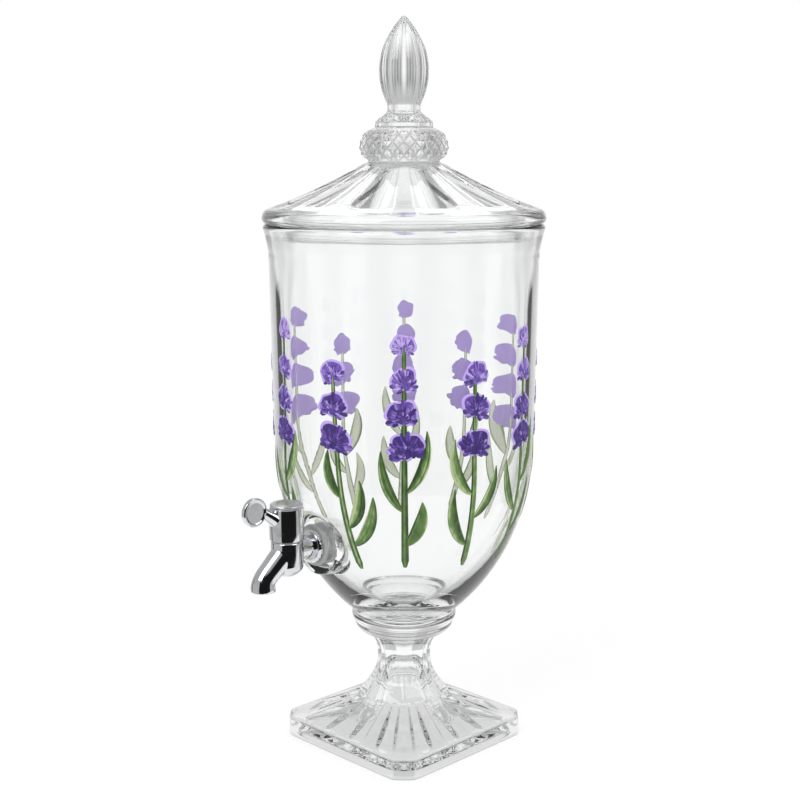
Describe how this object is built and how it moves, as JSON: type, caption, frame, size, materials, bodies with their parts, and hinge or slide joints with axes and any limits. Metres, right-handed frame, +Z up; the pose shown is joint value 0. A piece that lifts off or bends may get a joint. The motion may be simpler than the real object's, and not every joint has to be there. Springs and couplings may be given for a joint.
{
  "type": "glass beverage dispenser",
  "caption": "Footed clear glass drinks urn with a lift-off fluted lid and bud finial, and a chrome quarter-turn tap low on its front.",
  "frame": {"origin": "centre of the square foot's resting face, on the urn's axis", "axes": "+Z up along the urn's axis; -Y towards the tap; X and Y along the sides of the square foot"},
  "size_m": [0.159, 0.1983, 0.4146],
  "materials": {
    "clear_glass": "clear, fire-polished",
    "adhesive": "clear cured adhesive film",
    "grey_silicone": "translucent grey silicone",
    "white_plastic": "natural white moulding",
    "black_rubber": "black rubber",
    "bright_chrome": "bright plated",
    "screw_steel": "zinc plated"
  },
  "bodies": {
    "vessel": {"tank": "clear_glass", "foot": "clear_glass", "bond_layer": "adhesive", "outer_gasket": "grey_silicone", "inner_gasket": "grey_silicone", "inner_washer": "white_plastic", "inner_nut": "white_plastic", "tap_body": "bright_chrome", "bonnet_nut": "white_plastic"},
    "lid": {"lid": "clear_glass"},
    "tap_handle": {"plug": "white_plastic", "plug_seal_upper": "black_rubber", "plug_seal_lower": "black_rubber", "handle": "bright_chrome", "handle_screw": "screw_steel", "handle_cap": "bright_chrome"}
  },
  "joints": [
    {"name": "lid_lift", "type": "slide", "parent": "vessel", "child": "lid", "axis": [0, 0, 1], "range_m": [0, 0.12]},
    {"name": "tap_turn", "type": "hinge", "parent": "vessel", "child": "tap_handle", "pos_m": [0, -0.08905, 0.14], "axis": [0, 0, 1], "range_deg": [0, 90]}
  ]
}
